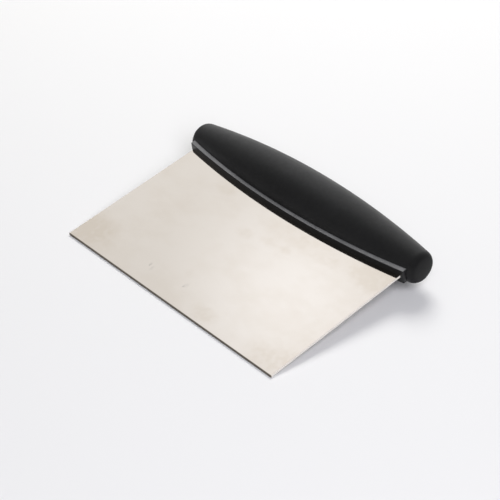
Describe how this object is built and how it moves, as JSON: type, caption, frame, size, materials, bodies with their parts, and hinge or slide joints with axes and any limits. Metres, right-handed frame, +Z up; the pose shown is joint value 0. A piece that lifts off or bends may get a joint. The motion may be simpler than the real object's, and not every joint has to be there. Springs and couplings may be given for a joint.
{
  "type": "dough scraper",
  "caption": "Dough scraper with a flat stainless blade held in a slim hard rail along a soft barrel-shaped black grip, lying on its front edge and the grip's belly.",
  "frame": {"origin": "on the bench, under the middle of the scraper's overall box", "axes": "+X along the blade's front edge, +Y from the front edge back to the grip, +Z up from the bench"},
  "size_m": [0.164, 0.1108, 0.0304],
  "materials": {
    "blade_steel": "smooth mill-polished stainless steel with faint smudges",
    "hard_plastic": "smooth semi-gloss black moulded plastic",
    "soft_grip": "matte black soft-touch rubber",
    "rivet_metal": "plain drawn aluminium"
  },
  "bodies": {
    "root": {"blade": "blade_steel", "core_upper": "hard_plastic", "core_lower": "hard_plastic", "grip_sleeve": "soft_grip", "tang_rivet_left": "rivet_metal", "tang_rivet_middle": "rivet_metal", "tang_rivet_right": "rivet_metal"}
  },
  "joints": []
}
